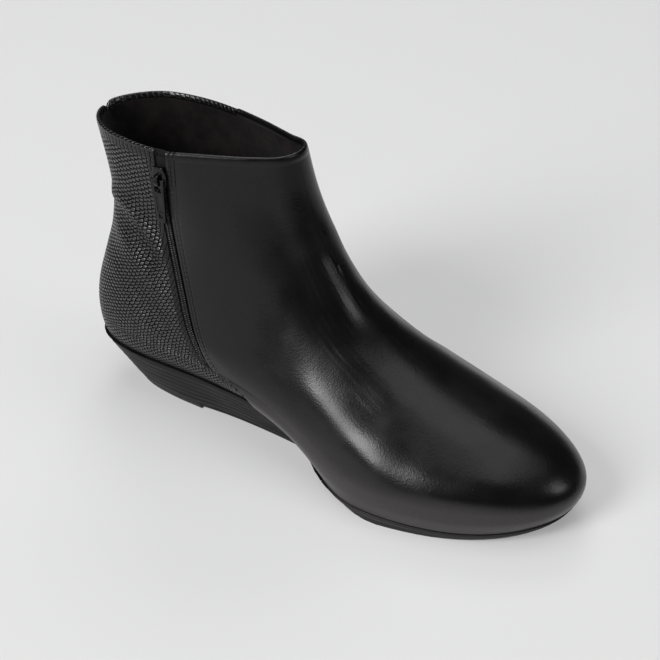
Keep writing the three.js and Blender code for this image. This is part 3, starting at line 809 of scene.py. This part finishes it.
vamp_zip_edge = border(vamp, VAMP_START, TOP_ROW, ZIP_FOOT)
vamp_outer_edge = border(vamp, VAMP_END, TOP_ROW, OUTSIDE_FOOT)
quarter_zip_edge = border(quarter, QUARTER_END, TOP_ROW, ZIP_FOOT)
zip_middle = border(channel, 13.5, TOP_ROW, ZIP_FOOT - 1)
vamp_low_edge = border(vamp, VAMP_START, ZIP_FOOT, OUTSIDE_FOOT)
print("borders:", len(vamp_zip_edge), len(vamp_outer_edge), len(quarter_zip_edge), len(zip_middle))


def thicken(piece, thickness, roll):
    modify(piece, "SOLIDIFY", thickness=thickness * MM, offset=-1)
    modify(piece, "BEVEL", width=roll * MM, segments=3, limit_method="ANGLE", angle_limit=math.radians(50))
    smooth(piece, 50)


thicken(quarter, 1.0, 0.35)
thicken(vamp, 1.4, 0.5)
thicken(channel, 0.4, 0.1)
modify(lining, "SOLIDIFY", thickness=0.3 * MM, offset=1)
smooth(lining, 60)

# %% [markdown]
# Stitches are short, sunk beads of waxed thread. One is modelled, and a row of copies follows a
# border at a set distance, each lying on the leather and turned along the seam.

# %% Rows of stitches
def evenly(points, pitch):
    """Points a pitch apart along a line, each with the direction of the line there."""
    steps = [(b - a).length for a, b in zip(points, points[1:])]
    spots = []
    target = pitch / 2
    run = 0.0
    for (a, b), step in zip(zip(points, points[1:]), steps):
        while target <= run + step:
            spots.append((a.lerp(b, (target - run) / step), (b - a).normalized()))
            target += pitch
        run += step
    return spots


def surface_of(piece):
    return BVHTree.FromObject(piece, bpy.context.evaluated_depsgraph_get())


def seated(surface, place, towards, aside, sink=0.0):
    """A matrix on the leather: x along the seam, z out of the leather, moved aside by metres."""
    spot_here, out, index, distance = surface.find_nearest(place)
    side = out.cross(towards).normalized()
    spot_here, out, index, distance = surface.find_nearest(place + side * aside)
    side = out.cross(towards).normalized()
    forward = side.cross(out).normalized()
    return Matrix.Translation(spot_here - out * sink) @ Matrix((forward, side, out)).transposed().to_4x4()


def scatter(name, pattern, places):
    """One joined piece from many copies of a pattern, each at its own place."""
    corners, faces = [], []
    for place in places:
        start = len(corners)
        corners.extend(place @ corner.co for corner in pattern.data.vertices)
        faces.extend([start + i for i in face.vertices] for face in pattern.data.polygons)
    mesh = bpy.data.meshes.new(name)
    mesh.from_pydata(corners, [], faces)
    piece = bpy.data.objects.new(name, mesh)
    bpy.context.scene.collection.objects.link(piece)
    smooth(piece, 60)
    return piece


STITCH_SIZE = (1.6, 0.44, 0.36)     # millimetres along the seam, across it and out of it
STITCH_PITCH = 2.3 * MM
STITCH_SINK = 0.1 * MM
LOW_ROW = 2.9                       # millimetres from the vamp's edge to the row below the zip

bpy.ops.mesh.primitive_uv_sphere_add(segments=6, ring_count=5, radius=0.5)
stitch = bpy.context.object
stitch.name = "stitch_pattern"
only(stitch)
bpy.ops.object.mode_set(mode="EDIT")
bpy.ops.mesh.select_all(action="SELECT")
bpy.ops.transform.rotate(value=math.pi / 2, orient_axis="Y", center_override=(0, 0, 0))
bpy.ops.transform.resize(value=[v * MM for v in STITCH_SIZE], center_override=(0, 0, 0))
bpy.ops.object.mode_set(mode="OBJECT")

quarter_face = surface_of(quarter)
vamp_face = surface_of(vamp)
rows = [
    (vamp_face, vamp_zip_edge, SEAM_ROWS[0]), (vamp_face, vamp_zip_edge, SEAM_ROWS[1]),
    (quarter_face, quarter_zip_edge, -SEAM_ROWS[0]), (quarter_face, quarter_zip_edge, -SEAM_ROWS[1]),
    (vamp_face, vamp_outer_edge, -SEAM_ROWS[0]), (vamp_face, vamp_outer_edge, -SEAM_ROWS[1]),
    (quarter_face, vamp_low_edge, -LOW_ROW),
]
places = []
for surface, line, aside in rows:
    for spot_here, towards in evenly(line, STITCH_PITCH):
        places.append(seated(surface, spot_here, towards, aside * MM, STITCH_SINK))
stitches = scatter("stitches", stitch, places)
print("stitches:", len(places))

# %% [markdown]
# The closed coil shows as two rows of nylon loops that lock in the middle, on a flat core, and it
# is sewn to the woven tape on either side. One loop is modelled and repeated along the zip.

# %% Zip coil and tape
LOOP_SIZE = (0.7, 1.7, 1.3)     # millimetres along the zip, across it and out of it
LOOP_PITCH = 1.05 * MM
LOOP_ASIDE = 0.8 * MM           # middle of a loop from the middle of the zip
LOOP_LEAN = 14                  # degrees by which a loop is turned on the tape
COIL_LIFT = 1.45 * MM           # middle of the loops over the floor of the channel
SEWING_PITCH = 1.7 * MM
SEWING_ASIDE = 2.45 * MM
SEWING_LIFT = 0.85 * MM
CORE_SHRINK = 0.75 * MM         # the core's skin lies this much inside its solid

bpy.ops.mesh.primitive_uv_sphere_add(segments=8, ring_count=6, radius=0.5)
loop = bpy.context.object
loop.name = "loop_pattern"
only(loop)
bpy.ops.object.mode_set(mode="EDIT")
bpy.ops.mesh.select_all(action="SELECT")
bpy.ops.transform.resize(value=[v * MM for v in LOOP_SIZE], center_override=(0, 0, 0))
bpy.ops.object.mode_set(mode="OBJECT")

slider_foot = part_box("zip_slider")[0].z
bed_face = surface_of(channel)
loops, tape_sewing = [], []
for count, (spot_here, towards) in enumerate(evenly(zip_middle, LOOP_PITCH / 2)):
    if spot_here.z > slider_foot + 1 * MM:
        continue
    hand = 1 if count % 2 else -1
    place = seated(bed_face, spot_here, towards, 0)
    lean = Matrix.Rotation(math.radians(LOOP_LEAN * hand), 4, "Z")
    loops.append(place @ Matrix.Translation((0, LOOP_ASIDE * hand, COIL_LIFT)) @ lean)
for spot_here, towards in evenly(zip_middle, SEWING_PITCH):
    place = seated(bed_face, spot_here, towards, 0)
    for hand in (-1, 1):
        tape_sewing.append(place @ Matrix.Translation((0, SEWING_ASIDE * hand, SEWING_LIFT)))
coil = scatter("coil_loops", loop, loops)
sewing = scatter("tape_sewing", stitch, tape_sewing)

core = copy_of("zip_coil", "coil_core")
bpy.ops.object.mode_set(mode="EDIT")
bpy.ops.mesh.select_all(action="SELECT")
bpy.ops.transform.shrink_fatten(value=-CORE_SHRINK)
bpy.ops.object.mode_set(mode="OBJECT")
smooth(core, 50)
tape = copy_of("zip_tape", "tape")
modify(tape, "BEVEL", width=0.12 * MM, segments=2, limit_method="ANGLE", angle_limit=math.radians(50))
smooth(tape, 50)
guard = copy_of("zip_guard", "guard")
modify(guard, "BEVEL", width=0.4 * MM, segments=3, limit_method="ANGLE", angle_limit=math.radians(50))
smooth(guard, 50)
print("coil loops:", len(loops))

# %% [markdown]
# The slider and its tab are cast metal. Both are modelled lying flat at the origin, in the
# slider's own directions, and then set where the frame's hinge says: x along the pin, y down the
# zip and z out of the boot. The tab's plate is the largest flat face of its solid, so that face
# gives the way out.

# %% The slider's own directions
hinge = frame["joints"][0]
pin = Vector(hinge["pos_m"])
aside = Vector(hinge["axis"]).normalized()
plate_face = max(nodes["zip_pull"].data.polygons, key=lambda face: face.area)
out = plate_face.normal.copy()
if out.y > 0:
    out = -out
out = (out - aside * out.dot(aside)).normalized()
down = out.cross(aside).normalized()
slider_place = Matrix.Translation(pin) @ Matrix((aside, down, out)).transposed().to_4x4()
print("pin at", [round(v / MM, 1) for v in pin], "down", [round(v, 2) for v in down])


def set_in_place(piece):
    piece.data.transform(slider_place)
    piece.data.update()


def carve(piece, tool):
    modify(piece, "BOOLEAN", operation="DIFFERENCE", object=tool, solver="EXACT")
    bpy.data.objects.remove(tool)


def block(name, size, place):
    """A box of a size in millimetres, its middle at a place in millimetres."""
    bpy.ops.mesh.primitive_cube_add(size=1, location=(0, 0, 0))
    piece = bpy.context.object
    piece.name = name
    only(piece)
    bpy.ops.object.mode_set(mode="EDIT")
    bpy.ops.transform.resize(value=[v * MM for v in size], center_override=(0, 0, 0))
    bpy.ops.transform.translate(value=[v * MM for v in place])
    bpy.ops.object.mode_set(mode="OBJECT")
    return piece


def taper(piece, test, share):
    """Narrow the corners that pass a test to a share of their width."""
    for corner in piece.data.vertices:
        if test(corner.co / MM):
            corner.co.x *= share
    piece.data.update()


# %% [markdown]
# The slider is a crowned plate, wide at the shoulders, with an arched bridge that holds the tab.

# %% Slider
PIN_HEIGHT = 1.05           # the pin over the slider's plate, in millimetres
PLATE = 1.2
SLIDER_WIDE, SLIDER_LONG = 7.6, 11.8
CROWN = 0.25                # rise of the plate's middle
# The bridge grows from its foot in these steps, down the zip and outwards, in millimetres.
ARCH_STEPS = [(0.0, 1.3), (0.25, 0.6), (1.0, 0.35), (1.8, 0), (1.0, -0.35), (0.25, -0.6), (0, -1.3)]

plate = block("slider", (SLIDER_WIDE, SLIDER_LONG, PLATE), (0, 0, -PIN_HEIGHT - PLATE / 2))
bpy.ops.object.mode_set(mode="EDIT")
bpy.ops.mesh.select_all(action="SELECT")
bpy.ops.mesh.subdivide(number_cuts=3)
bpy.ops.object.mode_set(mode="OBJECT")
taper(plate, lambda at: at.y > 5, 0.55)
taper(plate, lambda at: 1 < at.y < 5, 0.86)
taper(plate, lambda at: at.y < -5, 0.62)
for corner in plate.data.vertices:
    if corner.co.z > -(PIN_HEIGHT + 0.1) * MM:
        share = 1 - (corner.co.x / (SLIDER_WIDE / 2 * MM)) ** 2
        corner.co.z += CROWN * MM * share
modify(plate, "BEVEL", width=0.35 * MM, segments=2, limit_method="ANGLE", angle_limit=math.radians(40))
modify(plate, "SUBSURF", levels=1)

bpy.ops.mesh.primitive_cube_add(size=1)
bridge = bpy.context.object
bridge.name = "slider_bridge"
only(bridge)
bpy.ops.object.mode_set(mode="EDIT")
bpy.ops.mesh.select_all(action="SELECT")
bpy.ops.transform.resize(value=(2.0 * MM, 1.1 * MM, 0.9 * MM), center_override=(0, 0, 0))
bpy.ops.transform.translate(value=(0, -2.15 * MM, -1.2 * MM))
bpy.ops.mesh.select_mode(type="FACE")
bpy.ops.mesh.select_all(action="DESELECT")
bpy.ops.object.mode_set(mode="OBJECT")
top_face = max(bridge.data.polygons, key=lambda face: face.center.z)
top_face.select = True
bpy.ops.object.mode_set(mode="EDIT")
for shift_y, shift_z in ARCH_STEPS:
    bpy.ops.mesh.extrude_region_move(TRANSFORM_OT_translate={"value": (0, shift_y * MM, shift_z * MM)})
bpy.ops.object.mode_set(mode="OBJECT")
modify(bridge, "BEVEL", width=0.3 * MM, segments=2, limit_method="ANGLE", angle_limit=math.radians(40))
for piece in (plate, bridge):
    smooth(piece, 60)
    set_in_place(piece)

# %% [markdown]
# The tab is a thin tapered plate. A slot at its top goes round the bridge, a small hole lies near
# its end, and between them a shallow bare dish is sunk in its face.

# %% Pull tab
TAB_LENGTH = 21.5
TAB_TOP = 6.8
TAB_END = 4.4
TAB_THICK = 1.0
tab = block("pull_tab", (TAB_TOP, TAB_LENGTH, TAB_THICK), (0, TAB_LENGTH / 2 - TAB_THICK / 2, 0))
for corner in tab.data.vertices:
    if corner.co.y > TAB_LENGTH / 2 * MM:
        corner.co.x *= TAB_END / TAB_TOP
carve(tab, block("slot_cutter", (3.4, 5.4, 4), (0, TAB_THICK / 2 + 2.7, 0)))
carve(tab, block("hole_cutter", (1.9, 2.2, 4), (0, TAB_LENGTH - 3.6, 0)))
carve(tab, block("dish_cutter", (2.9, 7.6, 0.5), (0, 12.0, 0.5)))
modify(tab, "BEVEL", width=0.42 * MM, segments=4, limit_method="ANGLE", angle_limit=math.radians(40))
smooth(tab, 50)
set_in_place(tab)

# %% [markdown]
# The sole's solids already have their true form. The sides of the wedge are relaxed, so that its
# grooves show as faint lines. Then all the sharp edges are broken a little, as trimmed edges are.

# %% Sole and insole
wedge = copy_of("wedge", "wedge_block")
lift = copy_of("heel_lift", "top_piece")
outsole = copy_of("outsole", "outsole_edge")
sock = copy_of("insole", "insole_sock")

side = wedge.vertex_groups.new(name="side")
flat_corners = {i for face in wedge.data.polygons if abs(face.normal.z) > 0.93 for i in face.vertices}
side_corners = [corner.index for corner in wedge.data.vertices if corner.index not in flat_corners]
side.add(side_corners, 1.0, "REPLACE")
modify(wedge, "SMOOTH", factor=0.5, iterations=5, vertex_group="side")

for piece, roll in ((wedge, 0.2), (lift, 0.25), (outsole, 0.25), (sock, 0.8)):
    modify(piece, "BEVEL", width=roll * MM, segments=2, limit_method="ANGLE", angle_limit=math.radians(42))
    smooth(piece, 45)
    print(piece.name, len(piece.data.polygons), "faces")

# %% [markdown]
# Last, each piece gets its finish and its body. The tab swings on the slider's pin, so it rides on
# the body that the frame calls pull, and all else rides on the boot.

# %% Finishes and bodies
for pattern in (stitch, loop):
    bpy.data.objects.remove(pattern)
wear(quarter, scaled, replaced=("upper",))
wear(vamp, leather, replaced=("upper",))
wear(channel, tape_finish, replaced=("upper",))
wear(lining, lining_finish, replaced=("upper",))
wear(stitches, thread)
wear(sewing, thread)
wear(coil, coil_finish, replaced=("zip_coil",))
wear(core, tape_finish, replaced=("zip_coil",))
wear(tape, tape_finish, replaced=("zip_tape",))
wear(guard, leather, replaced=("zip_guard",))
wear(plate, metal, replaced=("zip_slider",))
wear(bridge, metal, replaced=("zip_slider",))
wear(tab, metal, body="pull", replaced=("zip_pull",))
wear(wedge, cover, replaced=("wedge",))
wear(lift, rubber, replaced=("heel_lift",))
wear(outsole, rubber, replaced=("outsole",))
wear(sock, sock_finish, replaced=("insole",))
